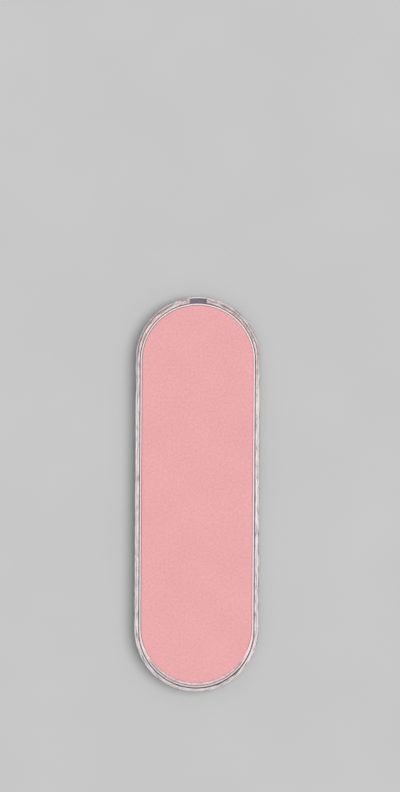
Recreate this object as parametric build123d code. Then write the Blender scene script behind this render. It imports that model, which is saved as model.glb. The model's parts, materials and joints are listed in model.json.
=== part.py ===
from build123d import *

import os
from math import cos, pi, radians, sin

# Flat slide-up finger strap. A clear tray, stuck down by its adhesive pad, holds a flexible strap flush
# inside its rim. One end of the strap is staked to the tray. The other end is staked to a slider that runs
# in a track under the tray's floor, so pushing that end inwards bows the strap up into a finger loop.
# Millimetres. The origin is at the middle of the adhesive face, +Z points out through the strap's face,
# and +Y points along the strap, to its sliding end.

# Tray
overall_length = 81.2
overall_width = 25.6
rim_wall = 0.87
rim_wall_at_slide = 1.21
rim_wall_at_anchor = 0.65
rim_bevel = 0.2
rim_groove_width = 0.12
rim_groove_depth = 0.08
rim_end_radius = 0.35
tray_foot_bevel = 0.25
floor_web = 0.7

# Thumbnail notch in the rim, at the sliding end, which flares outwards
notch_width = 3.2
notch_outer_width = 3.7
notch_floor_height = 1.0
notch_lip_wall = 0.25
notch_lip_height = 0.45

# Adhesive pad
pad_thickness = 0.8
pad_inset = 0.5
pad_edge_bevel = 0.1

# Strap: a clear band with the soft face let into it
strap_gap = 0.15
strap_gap_at_anchor = 0.22
band_web = 0.85
band_edge_bevel = 0.15
face_thickness = 0.45
face_proud = 0.08
face_edge_bevel = 0.15
face_side_border = 0.38
face_border_at_slide = 0.38
face_border_at_anchor = 1.0
face_fit = 0.03

# Shallow groove round the band's border at the anchored end
anchor_groove_inset = 0.3
anchor_groove_width = 0.25
anchor_groove_depth = 0.16
anchor_groove_reach = 6.0

# Bowing: the stretches that the strap bends at, between its two stiff ends, and the steepest slope
end_length = 12.0
stretch_count = 22
steepest_slope = radians(66)

# Slider and its track
neck_width = 6.0
neck_length = 7.0
neck_setback = 3.6
neck_corner_radius = 1.0
spring_arm_wall = 0.8
spring_slit = 0.6
spring_slit_margin = 1.2
foot_width = 10.0
foot_length = 9.4
foot_thickness = 0.7
foot_corner_radius = 1.5
lift_clearance = 0.05
side_clearance = 0.1
slot_end_clearance = 0.3

# Track cover
cover_thickness = 0.4
cover_ledge = 1.2
cover_corner_radius = 3.2
cover_fit = 0.05

# Staked pegs that hold the band's ends
peg_diameter = 1.8
peg_head_diameter = 3.2
peg_head_thickness = 0.35
peg_head_bevel = 0.1
peg_hole_clearance = 0.08
peg_head_clearance = 0.12
anchor_peg_spacing = 9.0
anchor_setback = 6.2
anchor_land_margin = 1.5
slider_peg_spacing = 3.4

# Largest share of its own piece that a corner, a rim's round end, a rim's bevel or a face's bevel may take
corner_limit = 0.49
rim_end_limit = 0.45
rim_bevel_limit = 0.3
face_bevel_limit = 0.9

# Heights, from the adhesive face up
tray_bottom = pad_thickness
cover_top = tray_bottom + cover_thickness
foot_bottom = cover_top + lift_clearance
foot_top = foot_bottom + foot_thickness
track_top = foot_top + lift_clearance
floor_top = track_top + floor_web
strap_bottom = floor_top + lift_clearance
face_bottom = strap_bottom + band_web
face_top = face_bottom + face_thickness
band_top = face_top - face_proud
rim_top = face_top

# Plan of the pocket, and of the strap and its face in it
thinnest_rim = min(rim_wall, rim_wall_at_slide, rim_wall_at_anchor)
pocket_slide_end = overall_length / 2 - rim_wall_at_slide
pocket_anchor_end = -overall_length / 2 + rim_wall_at_anchor
pocket_length = pocket_slide_end - pocket_anchor_end
pocket_width = overall_width - 2 * rim_wall
pocket_middle = (pocket_slide_end + pocket_anchor_end) / 2
strap_slide_end = pocket_slide_end - strap_gap
strap_anchor_end = pocket_anchor_end + strap_gap_at_anchor
strap_length = strap_slide_end - strap_anchor_end
strap_width = pocket_width - 2 * strap_gap
strap_middle = (strap_slide_end + strap_anchor_end) / 2
face_length = strap_length - face_border_at_slide - face_border_at_anchor
face_width = strap_width - 2 * face_side_border
face_middle = strap_middle + (face_border_at_anchor - face_border_at_slide) / 2

# Places along the strap
flex_start = strap_anchor_end + end_length
flex_length = strap_length - 2 * end_length
stretch_length = flex_length / stretch_count
hinge_places = [flex_start + k * stretch_length for k in range(stretch_count + 1)]
neck_far = strap_slide_end - neck_setback
neck_middle = neck_far - neck_length / 2
anchor_middle = strap_anchor_end + anchor_setback
anchor_arc_middle = strap_anchor_end + strap_width / 2
strap_cut_margin = 1.0


def hinge_turn(k):
    """Turn at hinge k when the strap stands steepest: the first shape that a pushed strip buckles into."""
    if k in (0, stretch_count):
        return steepest_slope * sin(pi / stretch_count)
    return 2 * steepest_slope * sin(pi / stretch_count) * cos(2 * pi * k / stretch_count)


def slider_travel():
    """How far the slider comes in when the strap stands steepest.

    A stretch turns about its top edge where the strap bends up, and about its bottom edge where it bends
    down, so that no two stretches press into each other.
    """
    heights = [face_top if hinge_turn(k) > 0 else strap_bottom for k in range(stretch_count + 1)]
    slope = 0.0
    reach = 0.0
    for k in range(stretch_count):
        slope += hinge_turn(k)
        reach += stretch_length * cos(slope) - (heights[k + 1] - heights[k]) * sin(slope)
    return flex_length - reach


# The slot and track run from the flat strap's place to the steepest one. The far clearance is the larger,
# because the flat strap's end eases out a little, on its stretches' edges, before it comes in.
travel = slider_travel()
slot_far = neck_far + slot_end_clearance
slot_near = neck_far - neck_length - travel - side_clearance
track_far = neck_middle + foot_length / 2 + slot_end_clearance
track_near = neck_middle - foot_length / 2 - travel - side_clearance


def stadium(length, width, bottom, top, middle=0.0):
    """Upright prism with round ends, long along Y."""
    outline = SlotOverall(length, width, rotation=90)
    return extrude(Pos(0, middle, bottom) * outline, amount=top - bottom)


def rounded_block(width, y_low, y_high, bottom, top, radius):
    """Upright block with rounded corners, from y_low to y_high."""
    length = y_high - y_low
    outline = RectangleRounded(width, length, min(radius, corner_limit * width, corner_limit * length))
    return extrude(Pos(0, (y_low + y_high) / 2, bottom) * outline, amount=top - bottom)


def plain_block(width, y_low, y_high, bottom, top):
    """Upright block with square corners, from y_low to y_high."""
    box = Box(width, y_high - y_low, top - bottom)
    return Pos(0, (y_low + y_high) / 2, (bottom + top) / 2) * box


def upright_cylinder(diameter, bottom, top, place):
    """Upright cylinder at place, an (x, y) pair."""
    return Pos(place[0], place[1], (bottom + top) / 2) * Cylinder(diameter / 2, top - bottom)


def top_edges(solid):
    return solid.edges().group_by(Axis.Z)[-1]


def bottom_edges(solid):
    return solid.edges().group_by(Axis.Z)[0]


anchor_pegs = [(-anchor_peg_spacing / 2, anchor_middle), (anchor_peg_spacing / 2, anchor_middle)]
slider_pegs = [(0, neck_middle - slider_peg_spacing / 2), (0, neck_middle + slider_peg_spacing / 2)]
head_seat = face_bottom - peg_head_thickness - lift_clearance


def staked_peg(place, bottom):
    """Peg up through the band, with its melted head bearing on the seat in the band."""
    shank = upright_cylinder(peg_diameter, bottom, head_seat, place)
    head = upright_cylinder(peg_head_diameter, head_seat, head_seat + peg_head_thickness, place)
    return shank + chamfer(top_edges(head), peg_head_bevel)


def peg_seat(place):
    """Stepped hole in the band for one staked peg."""
    hole = upright_cylinder(peg_diameter + 2 * peg_hole_clearance, strap_bottom, face_bottom, place)
    seat_diameter = peg_head_diameter + 2 * peg_head_clearance
    return hole + upright_cylinder(seat_diameter, head_seat, face_bottom, place)


def make_adhesive_pad():
    pad = stadium(overall_length - 2 * pad_inset, overall_width - 2 * pad_inset, 0, pad_thickness)
    return chamfer(bottom_edges(pad), pad_edge_bevel)


def notch_plan():
    """The notch from above: it starts at the strap's edge, flares across the rim and runs on past it."""
    flare = (notch_outer_width - notch_width) / 2 / rim_wall_at_slide
    near = strap_slide_end
    far = overall_length / 2 + rim_wall_at_slide
    near_half = notch_width / 2 - flare * (pocket_slide_end - near)
    far_half = notch_width / 2 + flare * (far - pocket_slide_end)
    return Polygon((-near_half, near), (near_half, near), (far_half, far), (-far_half, far), align=None)


def thumbnail_notch():
    """What is cut from the floor under the rim's gap: a nail slot, with a low lip left along its outside."""
    slot_floor = tray_bottom + notch_floor_height
    lip_top = slot_floor + notch_lip_height
    over_lip = extrude(Pos(0, 0, lip_top) * notch_plan(), amount=floor_top - lip_top)
    nail_slot = extrude(Pos(0, 0, slot_floor) * notch_plan(), amount=floor_top - slot_floor)
    both_lips = 2 * notch_lip_wall
    within = stadium(overall_length - both_lips, overall_width - both_lips, slot_floor, floor_top)
    return over_lip + (nail_slot & within)


def rim_groove():
    """What is cut along the middle of the rim's top."""
    bottom = rim_top - rim_groove_depth
    length = (overall_length + pocket_length) / 2
    width = (overall_width + pocket_width) / 2
    middle = pocket_middle / 2
    outside = stadium(length + rim_groove_width, width + rim_groove_width, bottom, rim_top, middle)
    return outside - stadium(length - rim_groove_width, width - rim_groove_width, bottom, rim_top, middle)


def make_rim():
    """Wall round the strap, open at the notch, with rounded ends there and a fine groove along its top."""
    ring = SlotOverall(overall_length, overall_width, rotation=90)
    ring -= Pos(0, pocket_middle) * SlotOverall(pocket_length, pocket_width, rotation=90)
    ring -= notch_plan()
    notch_corners = ring.vertices().filter_by(lambda corner: abs(corner.X) < notch_outer_width)
    ring = fillet(notch_corners, min(rim_end_radius, rim_end_limit * rim_wall_at_slide))
    rim = extrude(Pos(0, 0, floor_top) * ring, amount=rim_top - floor_top)
    rim = chamfer(top_edges(rim), min(rim_bevel, rim_bevel_limit * thinnest_rim))
    return rim - rim_groove()


def track_cut():
    """The slider's way through the tray: neck slot, foot track and the recess for the cover."""
    slot_width = neck_width + 2 * side_clearance
    track_width = foot_width + 2 * side_clearance
    cover_width = track_width + 2 * cover_ledge
    slot = rounded_block(slot_width, slot_near, slot_far, track_top, floor_top, neck_corner_radius)
    track = rounded_block(track_width, track_near, track_far, cover_top, track_top, foot_corner_radius)
    near = track_near - cover_ledge
    far = track_far + cover_ledge
    recess = rounded_block(cover_width, near, far, tray_bottom, cover_top, cover_corner_radius)
    return slot + track + recess


def make_base_tray():
    body = stadium(overall_length, overall_width, tray_bottom, floor_top)
    body = chamfer(bottom_edges(body), tray_foot_bevel)
    body += make_rim()
    body -= thumbnail_notch()
    body -= track_cut()
    land_width = anchor_peg_spacing + peg_head_diameter + 2 * anchor_land_margin
    land_reach = peg_head_diameter / 2 + anchor_land_margin
    land_near = anchor_middle - land_reach
    land_far = anchor_middle + land_reach
    body += rounded_block(land_width, land_near, land_far, floor_top, strap_bottom, land_reach)
    for place in anchor_pegs:
        body += staked_peg(place, floor_top)
    return body


def make_track_cover():
    reach = cover_ledge - cover_fit
    width = foot_width + 2 * (side_clearance + reach)
    near = track_near - reach
    far = track_far + reach
    return rounded_block(width, near, far, tray_bottom, cover_top, cover_corner_radius - cover_fit)


def make_strap_slider():
    foot_near = neck_middle - foot_length / 2
    foot_far = neck_middle + foot_length / 2
    neck_near = neck_far - neck_length
    foot = rounded_block(foot_width, foot_near, foot_far, foot_bottom, foot_top, foot_corner_radius)
    neck = rounded_block(neck_width, neck_near, neck_far, foot_top, strap_bottom, neck_corner_radius)
    body = foot + neck
    slit_middle = neck_width / 2 - spring_arm_wall - spring_slit / 2
    slit_length = neck_length - 2 * spring_slit_margin
    slit = stadium(slit_length, spring_slit, foot_bottom, strap_bottom, neck_middle)
    for side in (-1, 1):
        body -= Pos(side * slit_middle, 0, 0) * slit
    for place in slider_pegs:
        body += staked_peg(place, strap_bottom)
    return body


def anchor_groove():
    """What is cut round the band's border at the anchored end."""
    inner_inset = anchor_groove_inset + anchor_groove_width
    bottom = band_top - anchor_groove_depth
    ring = upright_cylinder(strap_width - 2 * anchor_groove_inset, bottom, band_top, (0, anchor_arc_middle))
    ring -= upright_cylinder(strap_width - 2 * inner_inset, bottom, band_top, (0, anchor_arc_middle))
    reach = strap_anchor_end + anchor_groove_reach
    return ring & plain_block(strap_width, strap_anchor_end, reach, bottom, band_top)


def make_whole_band():
    band = stadium(strap_length, strap_width, strap_bottom, band_top, strap_middle)
    band = chamfer(top_edges(band), band_edge_bevel)
    recess_length = face_length + 2 * face_fit
    recess_width = face_width + 2 * face_fit
    band -= stadium(recess_length, recess_width, face_bottom, band_top, face_middle)
    band -= anchor_groove()
    for place in anchor_pegs + slider_pegs:
        band -= peg_seat(place)
    return band


def make_whole_face():
    face = stadium(face_length, face_width, face_bottom, face_top, face_middle)
    return chamfer(top_edges(face), min(face_edge_bevel, face_bevel_limit * face_thickness))


def between(whole, y_low, y_high):
    """The stretch of the strap from y_low to y_high."""
    return whole & plain_block(strap_width + strap_cut_margin, y_low, y_high, strap_bottom, face_top)


def strap_stretches(whole, name):
    """The whole strap's band or face, parted at the lines that it bends at."""
    before = strap_anchor_end - strap_cut_margin
    after = strap_slide_end + strap_cut_margin
    pieces = {f"{name}_fixed_end": between(whole, before, hinge_places[0])}
    for k in range(stretch_count):
        pieces[f"{name}_{k + 1:02d}"] = between(whole, hinge_places[k], hinge_places[k + 1])
    pieces[f"{name}_sliding_end"] = between(whole, hinge_places[-1], after)
    return pieces


nodes = {
    "adhesive_pad": make_adhesive_pad(),
    "base_tray": make_base_tray(),
    "track_cover": make_track_cover(),
    "strap_slider": make_strap_slider(),
}
nodes.update(strap_stretches(make_whole_band(), "strap_band"))
nodes.update(strap_stretches(make_whole_face(), "strap_face"))

os.makedirs("parts", exist_ok=True)
for node_name, solid in nodes.items():
    export_step(solid, f"parts/{node_name}.step")
print(f"{len(nodes)} nodes, slider travel {travel:.3f} mm")
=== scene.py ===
import json
from math import cos, pi, radians, sin

import bmesh
import bpy
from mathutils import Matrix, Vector


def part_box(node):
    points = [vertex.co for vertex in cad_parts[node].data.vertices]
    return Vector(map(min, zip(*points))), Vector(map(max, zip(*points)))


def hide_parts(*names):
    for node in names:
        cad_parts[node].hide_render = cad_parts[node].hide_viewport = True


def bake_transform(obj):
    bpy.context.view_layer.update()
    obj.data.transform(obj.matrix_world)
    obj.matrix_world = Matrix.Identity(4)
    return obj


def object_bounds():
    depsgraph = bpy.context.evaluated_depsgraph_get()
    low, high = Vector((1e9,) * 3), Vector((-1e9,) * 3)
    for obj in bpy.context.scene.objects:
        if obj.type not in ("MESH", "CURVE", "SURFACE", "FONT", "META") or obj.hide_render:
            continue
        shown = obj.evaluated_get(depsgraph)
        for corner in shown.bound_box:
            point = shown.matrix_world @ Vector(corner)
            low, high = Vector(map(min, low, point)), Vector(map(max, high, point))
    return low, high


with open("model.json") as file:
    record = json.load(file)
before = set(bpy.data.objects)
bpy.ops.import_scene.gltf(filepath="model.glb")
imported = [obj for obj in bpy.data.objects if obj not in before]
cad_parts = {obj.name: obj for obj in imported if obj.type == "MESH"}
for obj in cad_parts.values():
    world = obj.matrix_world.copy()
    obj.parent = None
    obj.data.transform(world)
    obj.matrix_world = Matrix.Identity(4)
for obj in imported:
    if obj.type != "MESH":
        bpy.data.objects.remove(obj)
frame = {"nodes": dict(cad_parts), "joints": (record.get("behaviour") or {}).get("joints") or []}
cad_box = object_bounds()

# Looks of a flat slide-up finger strap: a clear tray, a clear band with a pink face let into it, a slider
# and a foam pad. Metres. The strap bends, so its band and face are each a row of pieces, one to a hinge.

mm = 0.001

# How the picture was taken: straight down, from over its middle. The scale is the width of a pixel.
picture_width = 400
picture_height = 792
picture_scale = 0.2056 * mm
grip_pixel = (197.0, 494.4)
grip_lean = radians(0.33)
camera_height = 600 * mm
sensor_side = 36.0

# Strap: edges that are rounder here than on the solids, and the room round and under the face
band_edge_radius = 0.12 * mm
face_edge_radius = 0.11 * mm
face_foot_radius = 0.03 * mm
recess_edge_radius = 0.04 * mm
face_fit = 0.03 * mm
face_bed = 0.01 * mm

# Groove round the band's border at the anchored end
groove_inset = 0.3 * mm
groove_width = 0.25 * mm
groove_depth = 0.16 * mm
groove_reach = 6.0 * mm
groove_fade = 1.5 * mm

# Where the band's border gets duller towards its anchored end
anchored_end_start = -30 * mm
anchored_end_full = -37 * mm

# Tray: its rim's wall at the sides and at both ends, the width of the painted highlight line on the lip
# outside its notch, a height just over its floor, and how far past the pocket's edge the pocket's wall may
# lie
rim_wall = 0.87 * mm
rim_wall_at_slide = 1.21 * mm
rim_wall_at_anchor = 0.65 * mm
notch_lip = 0.18 * mm
over_floor = 2.8 * mm
wall_margin = 0.05 * mm

# Tones across the clear rim, from its outside edge to its inside edge, along most of it and round the
# notched end:
# painted highlight lines, painted shade lines between them, and a painted dark line at the outside edge
rim_highlight_and_shade_tones = [
    (0.00, (0.36, 0.33, 0.335)),
    (0.10, (0.55, 0.505, 0.51)),
    (0.22, (0.98, 0.91, 0.915)),
    (0.34, (0.98, 0.91, 0.915)),
    (0.50, (0.56, 0.49, 0.495)),
    (0.68, (1.00, 0.90, 0.905)),
    (1.00, (1.00, 0.87, 0.875)),
]
notched_end_highlight_and_shade_tones = [
    (0.00, (0.38, 0.32, 0.325)),
    (0.10, (0.58, 0.48, 0.485)),
    (0.20, (1.00, 0.82, 0.825)),
    (0.38, (0.27, 0.215, 0.215)),
    (0.56, (0.27, 0.215, 0.215)),
    (0.74, (1.00, 0.79, 0.795)),
    (1.00, (1.00, 0.75, 0.755)),
]
notched_end_start = 18 * mm
notched_end_full = 32 * mm

# Streaks in the rim: drawn out along it, with another pattern on its other side. They and the plastic's
# flow shift the tones across the rim, by shares of its width, but not at its outside edge.
streak_draw = 0.14
streak_side_change = 0.1
streak_shift = 0.15
flow_shift = 0.3
edge_line = 0.3 * mm
# Painted glints and painted shade streaks in the rim, by the streaks' noise
streak_glint_and_shade_tones = [(0.28, (0.40, 0.39, 0.39)), (0.54, (1.0, 1.0, 1.0))]

# Mottled painted glints and painted shade on the rim right beside the notch
notch_side_glint_and_shade_tones = [(0.36, (0.33, 0.265, 0.265)), (0.62, (0.83, 0.67, 0.675))]
notch_sides_start = 38.2 * mm
notch_sides_full = 39.6 * mm

# Tones up the clear outside wall, from its foot to its top: painted highlights at its foot and top edges,
# darker low down where the tape shows through, a blush where the strap lies behind it, and the share of its
# height that the plastic's flow shifts them by
wall_tones_with_edge_highlights = [
    (0.00, (0.78, 0.76, 0.775)),
    (0.10, (0.60, 0.585, 0.605)),
    (0.45, (0.80, 0.775, 0.785)),
    (0.62, (0.88, 0.795, 0.80)),
    (0.86, (0.90, 0.83, 0.835)),
    (1.00, (0.97, 0.945, 0.955)),
]
side_shift = 0.08

# How far up a face of the tray looks, 1 being straight up: where a bevel turns from the wall's tones to the
# rim's, and where walls end and level faces start
bevel_start = 0.3
bevel_full = 0.6
level_face = 0.5

# A noise's values mostly lie between these
noise_low = 0.25
noise_high = 0.75

# Studio: brightness of the world as a light and as it is seen, a broad sun, and the floor's half side
sky_light = 0.54
sky_seen = 0.58
sun_strength = 1.56
sun_breadth = radians(40)
sun_tilt = radians(20)
sun_turn = radians(10)
floor_reach = 1500 * mm

# Mesh density
corner_steps = 4
rows_per_stretch = 8
rows_round_end = 48
columns_across = 12
sharp_angle = radians(40)
weld_distance = 1e-7

# Texture coordinates: one unit of the strap's map is this long
map_unit = 10 * mm

joints = frame["joints"]
hinges = [joint["pos_m"][1] for joint in joints]
last_hinge = len(hinges) - 1
half_stretch = (hinges[1] - hinges[0]) / 2

# Depths under the band's top where its tones turn to the painted shade of its sides, and then to those
# underneath
band_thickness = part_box("strap_band_01")[1].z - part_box("strap_band_01")[0].z
side_start = 1.2 * groove_depth
side_full = 2.4 * groove_depth
under_start = 0.8 * band_thickness


def new_material(name):
    """A material, its node tree and the shader that the tree feeds."""
    material = bpy.data.materials.new(name)
    material.use_nodes = True
    tree = material.node_tree
    return material, tree, tree.nodes["Principled BSDF"]


def feed(tree, node, inputs):
    """Sets a node's inputs, by name or number, to numbers, colours or the outputs of other nodes."""
    for key, value in inputs.items():
        socket = node.inputs[key]
        if isinstance(value, bpy.types.NodeSocket):
            tree.links.new(value, socket)
        elif isinstance(value, tuple):
            socket.default_value = (*value, 1)
        else:
            socket.default_value = value


def add_node(tree, kind, inputs):
    """A new node with its inputs set."""
    node = tree.nodes.new(kind)
    feed(tree, node, inputs)
    return node


def coordinates(tree, kind):
    """Object for the place in the part's frame, UV for the strap's map, Normal for the way a face looks."""
    return tree.nodes.new("ShaderNodeTexCoord").outputs[kind]


def axes(tree, vector):
    """The three numbers of a vector."""
    node = add_node(tree, "ShaderNodeSeparateXYZ", {"Vector": vector})
    return node.outputs["X"], node.outputs["Y"], node.outputs["Z"]


def noise(tree, place, scale, detail):
    """A soft noise."""
    node = add_node(tree, "ShaderNodeTexNoise", {"Vector": place, "Scale": scale, "Detail": detail})
    return node.outputs["Fac"]


def cells(tree, place, scale):
    """Small cells: how far each place is from the middle of its cell."""
    return add_node(tree, "ShaderNodeTexVoronoi", {"Vector": place, "Scale": scale}).outputs["Distance"]


def calc(tree, operation, *values):
    """The result of a math node."""
    node = add_node(tree, "ShaderNodeMath", dict(enumerate(values)))
    node.operation = operation
    return node.outputs["Value"]


def mix(tree, share, first, second, blend="MIX"):
    """First colour, with a share of the second blended in."""
    node = add_node(tree, "ShaderNodeMixRGB", {"Fac": share, "Color1": first, "Color2": second})
    node.blend_type = blend
    return node.outputs["Color"]


def spread(tree, factor, low, high):
    """A number that runs from low to high as factor runs from 0 to 1."""
    node = add_node(tree, "ShaderNodeMapRange", {"Value": factor, "To Min": low, "To Max": high})
    return node.outputs["Result"]


def shift(tree, factor, reach):
    """A number that runs from -reach to reach as factor runs from 0 to 1."""
    return spread(tree, factor, -reach, reach)


def span(tree, value, start, end):
    """A number that runs smoothly from 0 to 1 as value runs from start to end."""
    node = add_node(tree, "ShaderNodeMapRange", {"Value": value, "From Min": start, "From Max": end})
    node.interpolation_type = "SMOOTHSTEP"
    return node.outputs["Result"]


def tones(tree, factor, stops):
    """A colour that follows factor through stops, each a place from 0 to 1 and a colour."""
    node = add_node(tree, "ShaderNodeValToRGB", {"Fac": factor})
    elements = node.color_ramp.elements
    while len(elements) < len(stops):
        elements.new(1.0)
    for element, (place, colour) in zip(elements, stops):
        element.position = place
        element.color = (*colour, 1)
    return node.outputs["Color"]


def tint(tree, factor, dark, light):
    """A colour that runs from dark to light as factor runs over most of a noise's values."""
    return tones(tree, factor, [(noise_low, dark), (noise_high, light)])


def bump(tree, height, distance, strength, under=None):
    """A normal that follows height, over another normal if there is one."""
    inputs = {"Height": height, "Distance": distance, "Strength": strength}
    if under is not None:
        inputs["Normal"] = under
    return add_node(tree, "ShaderNodeBump", inputs).outputs["Normal"]


def depth_under_top(tree):
    """How deep a place on the strap lies under its top, from the mesh."""
    node = tree.nodes.new("ShaderNodeAttribute")
    node.attribute_name = "depth"
    return node.outputs["Fac"]


def past_middles(tree, y, low_middle, high_middle):
    """How far past the middle of a stadium's round end a place lies: below 0 at the low end, 0 between."""
    past = calc(tree, "MAXIMUM", calc(tree, "SUBTRACT", y, high_middle), 0.0)
    before = calc(tree, "MAXIMUM", calc(tree, "SUBTRACT", low_middle, y), 0.0)
    return calc(tree, "SUBTRACT", past, before)


def inside_edge(tree, x, past, half_width):
    """How far inside a stadium's edge a place lies."""
    squares = calc(tree, "ADD", calc(tree, "MULTIPLY", x, x), calc(tree, "MULTIPLY", past, past))
    return calc(tree, "SUBTRACT", half_width, calc(tree, "SQRT", squares))


def along_edge(tree, x, y, past, half_width):
    """How far along a stadium's edge a place lies."""
    turn = calc(tree, "ARCTAN2", past, calc(tree, "ABSOLUTE", x))
    return calc(tree, "ADD", calc(tree, "SUBTRACT", y, past), calc(tree, "MULTIPLY", turn, half_width))


def pink_face_material():
    """Matte sheet with a fine leathery grain and a faint cloudiness."""
    material, tree, shader = new_material("pink_face")
    place = coordinates(tree, "UV")
    pebble = cells(tree, place, scale=34.0)
    fuzz = noise(tree, place, scale=22.0, detail=4.0)
    cloud = noise(tree, place, scale=1.2, detail=5.0)
    ground = tint(tree, cloud, (0.865, 0.415, 0.43), (0.905, 0.45, 0.465))
    grain = tint(tree, fuzz, (0.86, 0.80, 0.80), (1.0, 1.0, 1.0))
    pits = bump(tree, pebble, distance=0.03 * mm, strength=0.3)
    feed(tree, shader, {
        "Base Color": mix(tree, 1.0, ground, grain, "MULTIPLY"),
        "Roughness": spread(tree, fuzz, 0.55, 0.8),
        "Normal": bump(tree, fuzz, distance=0.02 * mm, strength=0.35, under=pits),
        "Specular IOR Level": 0.3,
    })
    return material


def rim_streaks(tree, x, inward, along):
    """A noise that is drawn out along the rim."""
    drawn_out = add_node(tree, "ShaderNodeCombineXYZ", {
        "X": calc(tree, "MULTIPLY", along, streak_draw),
        "Y": inward,
        "Z": calc(tree, "MULTIPLY", x, streak_side_change),
    })
    return noise(tree, drawn_out.outputs["Vector"], scale=3300.0, detail=2.0)


def rim_highlights_and_shade(tree, y, across, haze, streaks):
    """The rim from above: painted highlight and painted shade lines along it, painted glints and dull shade
    streaks, and a mottle of painted glints and shade beside the notch.
    """
    at_notched_end = span(tree, y, notched_end_start, notched_end_full)
    along_most = tones(tree, across, rim_highlight_and_shade_tones)
    lines = mix(tree, at_notched_end, along_most, tones(tree, across, notched_end_highlight_and_shade_tones))
    mottle = calc(tree, "MULTIPLY", calc(tree, "ADD", haze, streaks), 0.5)
    beside_notch = span(tree, y, notch_sides_start, notch_sides_full)
    colour = mix(tree, beside_notch, lines, tones(tree, mottle, notch_side_glint_and_shade_tones))
    return mix(tree, 1.0, colour, tones(tree, streaks, streak_glint_and_shade_tones), "MULTIPLY")


def tray_material():
    """Clear moulded plastic: painted highlight and shade lines along the rim, painted edge highlights and a
    blush on the outside wall, a painted highlight on the lip at the notch, and dark floors and inside
    walls, where the tape shows through."""
    material, tree, shader = new_material("clear_tray")
    place = coordinates(tree, "Object")
    x, y, z = axes(tree, place)
    up = axes(tree, coordinates(tree, "Normal"))[2]
    haze = noise(tree, place, scale=1800.0, detail=2.0)
    flow = noise(tree, place, scale=160.0, detail=2.0)

    low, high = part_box("base_tray")
    half_width = high.x
    past_tray = past_middles(tree, y, low.y + half_width, high.y - half_width)
    inward = inside_edge(tree, x, past_tray, half_width)
    half_pocket = half_width - rim_wall
    pocket_low = low.y + rim_wall_at_anchor + half_pocket
    pocket_high = high.y - rim_wall_at_slide - half_pocket
    in_pocket = inside_edge(tree, x, past_middles(tree, y, pocket_low, pocket_high), half_pocket)

    streaks = rim_streaks(tree, x, inward, along_edge(tree, x, y, past_tray, half_width))
    wander = calc(tree, "ADD", shift(tree, streaks, streak_shift), shift(tree, flow, flow_shift))
    wander = calc(tree, "MULTIPLY", wander, span(tree, inward, 0.0, edge_line))
    across = calc(tree, "DIVIDE", inward, calc(tree, "SUBTRACT", inward, in_pocket))
    rim = rim_highlights_and_shade(tree, y, calc(tree, "ADD", across, wander), haze, streaks)
    height = calc(tree, "DIVIDE", calc(tree, "SUBTRACT", z, low.z), high.z - low.z)
    # The outside wall's tones, with painted highlights along its foot and top edges
    wall = tones(tree, calc(tree, "ADD", height, shift(tree, flow, side_shift)), wall_tones_with_edge_highlights)
    colour = mix(tree, span(tree, up, bevel_start, bevel_full), wall, rim)

    is_level = calc(tree, "GREATER_THAN", up, level_face)
    is_ledge = calc(tree, "MULTIPLY", is_level, calc(tree, "LESS_THAN", z, over_floor))
    # Painted highlight: the pale tint that stays on the lip outside the notch; the floors inside it turn
    # dark below
    colour = mix(tree, is_ledge, colour, tint(tree, haze, (0.80, 0.775, 0.80), (0.96, 0.935, 0.96)))
    is_floor = calc(tree, "MULTIPLY", is_ledge, calc(tree, "GREATER_THAN", inward, notch_lip))
    is_upright = calc(tree, "LESS_THAN", calc(tree, "ABSOLUTE", up), level_face)
    is_inside_wall = calc(tree, "MULTIPLY", is_upright, calc(tree, "GREATER_THAN", in_pocket, -wall_margin))
    is_dark = calc(tree, "MAXIMUM", is_floor, is_inside_wall)
    colour = mix(tree, is_dark, colour, tint(tree, flow, (0.116, 0.083, 0.143), (0.146, 0.105, 0.18)))
    feed(tree, shader, {
        "Base Color": colour,
        "Roughness": spread(tree, haze, 0.08, 0.2),
        "Normal": bump(tree, flow, distance=0.05 * mm, strength=0.15),
        "Transmission Weight": 0.12,
        "IOR": 1.5,
    })
    return material


def band_material():
    """Clear flexible band with a blush from the face: hazy on top, duller at its anchored end, with painted
    shade in the groove there and on its sides, and pinkest underneath."""
    material, tree, shader = new_material("clear_band")
    place = coordinates(tree, "UV")
    haze = noise(tree, place, scale=14.0, detail=3.0)
    flow = noise(tree, place, scale=1.5, detail=2.0)
    depth = depth_under_top(tree)
    along = calc(tree, "MULTIPLY", axes(tree, place)[1], map_unit)
    anchored = tint(tree, haze, (0.54, 0.44, 0.445), (0.97, 0.79, 0.795))
    clear = tint(tree, haze, (0.86, 0.69, 0.695), (1.0, 0.81, 0.815))
    # Painted shade: dark in the groove, and greyer on the band's sides
    groove = tint(tree, haze, (0.34, 0.30, 0.305), (0.42, 0.38, 0.385))
    side = tint(tree, flow, (0.76, 0.625, 0.63), (0.82, 0.685, 0.69))
    under = tint(tree, flow, (0.82, 0.555, 0.565), (0.87, 0.605, 0.615))
    colour = mix(tree, span(tree, along, anchored_end_full, anchored_end_start), anchored, clear)
    colour = mix(tree, span(tree, depth, 0.0, groove_depth), colour, groove)
    colour = mix(tree, span(tree, depth, side_start, side_full), colour, side)
    colour = mix(tree, span(tree, depth, under_start, band_thickness), colour, under)
    feed(tree, shader, {
        "Base Color": colour,
        "Roughness": spread(tree, flow, 0.24, 0.36),
        "Normal": bump(tree, flow, distance=0.05 * mm, strength=0.15),
        "Transmission Weight": 0.08,
        "IOR": 1.45,
    })
    return material


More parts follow.
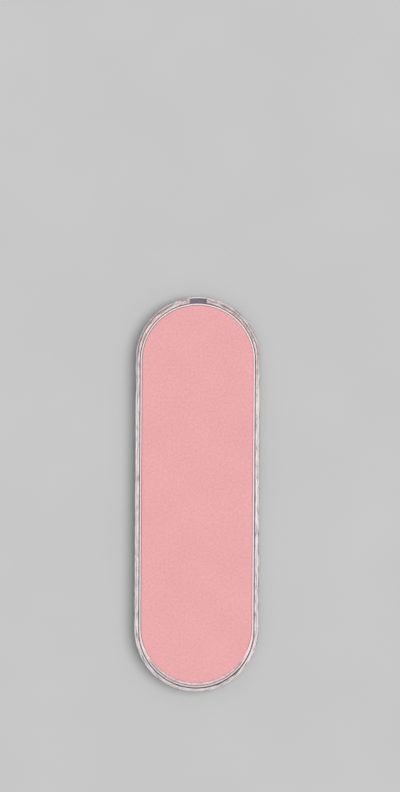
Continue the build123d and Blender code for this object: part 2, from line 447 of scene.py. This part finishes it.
def foam_material():
    """Dark closed-cell foam tape."""
    material, tree, shader = new_material("foam_tape")
    place = coordinates(tree, "Object")
    bubbles = cells(tree, place, scale=5000.0)
    cloud = noise(tree, place, scale=600.0, detail=3.0)
    feed(tree, shader, {
        "Base Color": tint(tree, cloud, (0.010, 0.010, 0.014), (0.022, 0.021, 0.030)),
        "Roughness": spread(tree, cloud, 0.75, 0.95),
        "Normal": bump(tree, bubbles, distance=0.05 * mm, strength=0.6),
    })
    return material


def slider_material():
    """Smooth white plastic with a fine sparked texture."""
    material, tree, shader = new_material("slider")
    spark = noise(tree, coordinates(tree, "Object"), scale=3500.0, detail=2.0)
    feed(tree, shader, {
        "Base Color": tint(tree, spark, (0.66, 0.66, 0.65), (0.76, 0.76, 0.75)),
        "Roughness": spread(tree, spark, 0.32, 0.5),
        "Normal": bump(tree, spark, distance=0.02 * mm, strength=0.3),
    })
    return material


def floor_material():
    """Plain pale grey, with no gloss."""
    material, tree, shader = new_material("floor")
    cloud = noise(tree, coordinates(tree, "Object"), scale=40.0, detail=2.0)
    feed(tree, shader, {
        "Base Color": tint(tree, cloud, (0.563, 0.563, 0.563), (0.583, 0.583, 0.583)),
        "Roughness": 0.8,
        "Specular IOR Level": 0.0,
    })
    return material


def add_object(name, data):
    """An object in the scene."""
    made = bpy.data.objects.new(name, data)
    bpy.context.scene.collection.objects.link(made)
    return made


class Outline:
    """A stadium seen from above: half its width, and the middles of its two round ends."""

    def __init__(self, half_width, fixed_middle, sliding_middle):
        self.half_width = half_width
        self.fixed_middle = fixed_middle
        self.sliding_middle = sliding_middle

    def grown(self, margin):
        """The outline that lies a margin outside this one."""
        return Outline(self.half_width + margin, self.fixed_middle, self.sliding_middle)

    def place(self, inset, height, station):
        """The point on the right side that lies inset from the outline, at a station along it."""
        radius = self.half_width - inset
        kind, value = station
        if kind == "straight":
            return Vector((radius, value, height))
        middle = self.fixed_middle if kind == "fixed" else self.sliding_middle
        return Vector((radius * cos(value), middle + radius * sin(value), height))


def outline_of(name):
    """The outline of a layer of the strap, from its solids."""
    half_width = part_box(f"{name}_01")[1].x
    fixed_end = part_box(f"{name}_fixed_end")[0].y
    sliding_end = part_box(f"{name}_sliding_end")[1].y
    return Outline(half_width, fixed_end + half_width, sliding_end - half_width)


def straight_stations(start, end):
    """Stations along a straight stretch, from start to end."""
    shares = [row / rows_per_stretch for row in range(rows_per_stretch + 1)]
    return [("straight", start + (end - start) * share) for share in shares]


def rounded_corner(before, corner, after, radius):
    """The points of a rounded right-angled corner, on the way from before to after."""
    start = (before - corner).normalized() * radius
    end = (after - corner).normalized() * radius
    centre = corner + start + end
    angles = [pi / 2 * step / corner_steps for step in range(corner_steps + 1)]
    return [centre - end * cos(angle) - start * sin(angle) for angle in angles]


def rounded_line(points, radii):
    """The open line of points with each inner corner rounded by its radius."""
    line = [points[0]]
    for before, corner, after, radius in zip(points, points[1:], points[2:], radii):
        line += rounded_corner(before, corner, after, radius)
    return line + [points[-1]]


class StrapLayer:
    """The band or the face, made of one piece for each hinge of the strap."""

    def __init__(self, name, slot, material):
        self.name = name
        self.slot = slot
        self.material = material
        self.outline = outline_of(name)
        self.outlines = [self.outline]
        low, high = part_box(f"{name}_01")
        self.bottom = low.z
        self.top = high.z

    def section(self, station):
        """The points up the right side of the section at a station, from the bottom to the inside."""
        raise NotImplementedError

    def outside_line(self, foot_radius, edge_radius):
        """Insets and heights up the outside of the section, from inside its foot to inside its top edge."""
        inside = 2 * max(foot_radius, edge_radius)
        corners = [
            Vector((inside, self.bottom)),
            Vector((0, self.bottom)),
            Vector((0, self.top)),
            Vector((inside, self.top)),
        ]
        return rounded_line(corners, [foot_radius, edge_radius])

    def stations(self, number):
        """Where the piece for a hinge has its rows, in order along the strap."""
        start = hinges[number] - half_stretch
        end = hinges[number] + half_stretch
        turns = [pi / 2 * row / rows_round_end for row in range(rows_round_end + 1)]
        if number == 0:
            tip = [("fixed", turn - pi / 2) for turn in turns]
            straight_start = max(outline.fixed_middle for outline in self.outlines)
            return tip + straight_stations(straight_start, end)[1:]
        if number == last_hinge:
            tip = [("sliding", turn) for turn in turns]
            straight_end = min(outline.sliding_middle for outline in self.outlines)
            return straight_stations(start, straight_end)[:-1] + tip
        return straight_stations(start, end)

    def ring(self, station):
        """Points round the section at a station: up the right side, over the top, down the left, under."""
        right = self.section(station)
        left = [Vector((-point.x, point.y, point.z)) for point in right]
        shares = [column / columns_across for column in range(1, columns_across)]
        over = [right[-1].lerp(left[-1], share) for share in shares]
        under = [left[0].lerp(right[0], share) for share in shares]
        return right + over + left[::-1] + under

    def unrolled(self, place):
        """Where a place lies on the strap's map, which folds its sides and underside out flat."""
        spread_out = 1 + (self.top - place.z) / self.outline.half_width
        return place.x * spread_out / map_unit, place.y / map_unit

    def mesh_piece(self, number):
        """The piece round a hinge."""
        shape = bmesh.new()
        rows = []
        for station in self.stations(number):
            rows.append([shape.verts.new(point) for point in self.ring(station)])
        for row, following in zip(rows, rows[1:]):
            for column in range(len(row)):
                before = column - 1
                shape.faces.new((row[before], following[before], following[column], row[column]))
        if number > 0:
            shape.faces.new(rows[0])
        if number < last_hinge:
            shape.faces.new(rows[-1][::-1])
        bmesh.ops.remove_doubles(shape, verts=shape.verts[:], dist=weld_distance)
        bmesh.ops.dissolve_degenerate(shape, edges=shape.edges[:], dist=weld_distance)
        bmesh.ops.recalc_face_normals(shape, faces=shape.faces[:])
        strap_map = shape.loops.layers.uv.new("strap_map")
        depth = shape.verts.layers.float.new("depth")
        for vert in shape.verts:
            vert[depth] = self.top - vert.co.z
        for face in shape.faces:
            face.smooth = True
            for loop in face.loops:
                loop[strap_map].uv = self.unrolled(loop.vert.co)
        mesh = bpy.data.meshes.new(f"{self.name}_bend_{number:02d}")
        shape.to_mesh(mesh)
        shape.free()
        mesh.set_sharp_from_angle(angle=sharp_angle)
        mesh.materials.append(self.material)
        return mesh

    def nodes_for(self, number):
        """The solids that the piece for a hinge stands for."""
        if number == 0:
            return [f"{self.name}_fixed_end"]
        nodes = [f"{self.name}_{number:02d}"]
        if number == last_hinge:
            nodes.append(f"{self.name}_sliding_end")
        return nodes

    def build(self):
        """Makes all the layer's pieces."""
        for number, hinge in enumerate(hinges):
            mesh = self.mesh_piece(number)
            piece = add_object(mesh.name, mesh)
            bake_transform(piece)
            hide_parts(*self.nodes_for(number))


class Face(StrapLayer):
    """The soft sheet: a plain section with rounded edges."""

    def __init__(self, material):
        super().__init__("strap_face", "pink_face", material)

    def section(self, station):
        line = self.outside_line(face_foot_radius, face_edge_radius)
        return [self.outline.place(inset, height, station) for inset, height in line]


class Band(StrapLayer):
    """The clear band, with the bed that the face lies in and a groove round its anchored end."""

    def __init__(self, material, face):
        super().__init__("strap_band", "clear_band", material)
        self.bed = face.bottom - face_bed
        self.bed_outline = face.outline.grown(face_fit)
        self.outlines.append(self.bed_outline)

    def groove(self, station):
        """The points across the groove, which gets shallow towards its reach and is gone past it."""
        anchored_end = self.outline.fixed_middle - self.outline.half_width
        left_to_run = anchored_end + groove_reach - self.outline.place(0, 0, station).y
        floor = self.top - groove_depth * min(max(left_to_run / groove_fade, 0), 1)
        profile = [
            (groove_inset, self.top),
            (groove_inset, floor),
            (groove_inset + groove_width, floor),
            (groove_inset + groove_width, self.top),
        ]
        return [self.outline.place(inset, height, station) for inset, height in profile]

    def section(self, station):
        outside = self.outside_line(band_edge_radius, band_edge_radius)
        bed_corners = [
            Vector((-2 * recess_edge_radius, self.top)),
            Vector((0, self.top)),
            Vector((0, self.bed)),
        ]
        bed_edge = rounded_line(bed_corners, [recess_edge_radius])
        points = [self.outline.place(inset, height, station) for inset, height in outside[:-1]]
        points += self.groove(station)
        points += [self.bed_outline.place(inset, height, station) for inset, height in bed_edge[1:]]
        return points


def dress(node, material):
    """Gives a solid its material."""
    slots = frame["nodes"][node].data.materials
    slots.clear()
    slots.append(material)


def build_floor():
    """A plain square, level with the underside of the pad."""
    mesh = bpy.data.meshes.new("floor")
    corners = [
        (-floor_reach, -floor_reach, 0),
        (floor_reach, -floor_reach, 0),
        (floor_reach, floor_reach, 0),
        (-floor_reach, floor_reach, 0),
    ]
    mesh.from_pydata(corners, [], [(0, 1, 2, 3)])
    mesh.materials.append(floor_material())
    floor = add_object("floor", mesh)


def build_light():
    """An even white world and a soft sun."""
    world = bpy.data.worlds.new("studio")
    bpy.context.scene.world = world
    world.use_nodes = True
    tree = world.node_tree
    path = tree.nodes.new("ShaderNodeLightPath").outputs
    is_seen = calc(tree, "MAXIMUM", path["Is Camera Ray"], path["Is Glossy Ray"])
    is_seen = calc(tree, "MAXIMUM", is_seen, path["Is Transmission Ray"])
    brightness = spread(tree, is_seen, sky_light, sky_seen)
    feed(tree, tree.nodes["Background"], {"Color": (1.0, 1.0, 1.0), "Strength": brightness})
    lamp = bpy.data.lights.new("sun", "SUN")
    lamp.energy = sun_strength
    lamp.angle = sun_breadth
    sun = add_object("sun", lamp)
    sun.rotation_euler = (0, sun_tilt, sun_turn)


def build_camera():
    """Looks straight down, so that the grip lies where it does in the picture."""
    lens = bpy.data.cameras.new("camera")
    lens.sensor_width = sensor_side
    lens.lens = sensor_side * camera_height / (picture_height * picture_scale)
    camera = add_object("camera", lens)
    right = Vector((cos(grip_lean), sin(grip_lean), 0))
    up = Vector((-sin(grip_lean), cos(grip_lean), 0))
    aside = (picture_width / 2 - grip_pixel[0]) * picture_scale
    along = (grip_pixel[1] - picture_height / 2) * picture_scale
    camera.location = right * aside + up * along + Vector((0, 0, camera_height + cad_box[1].z))
    camera.rotation_euler = (0, 0, grip_lean)
    bpy.context.scene.camera = camera


tray_plastic = tray_material()
dress("base_tray", tray_plastic)
dress("track_cover", tray_plastic)
dress("adhesive_pad", foam_material())
dress("strap_slider", slider_material())
face = Face(pink_face_material())
face.build()
Band(band_material(), face).build()
build_floor()
build_light()
build_camera()
bpy.context.scene.view_settings.view_transform = "Standard"
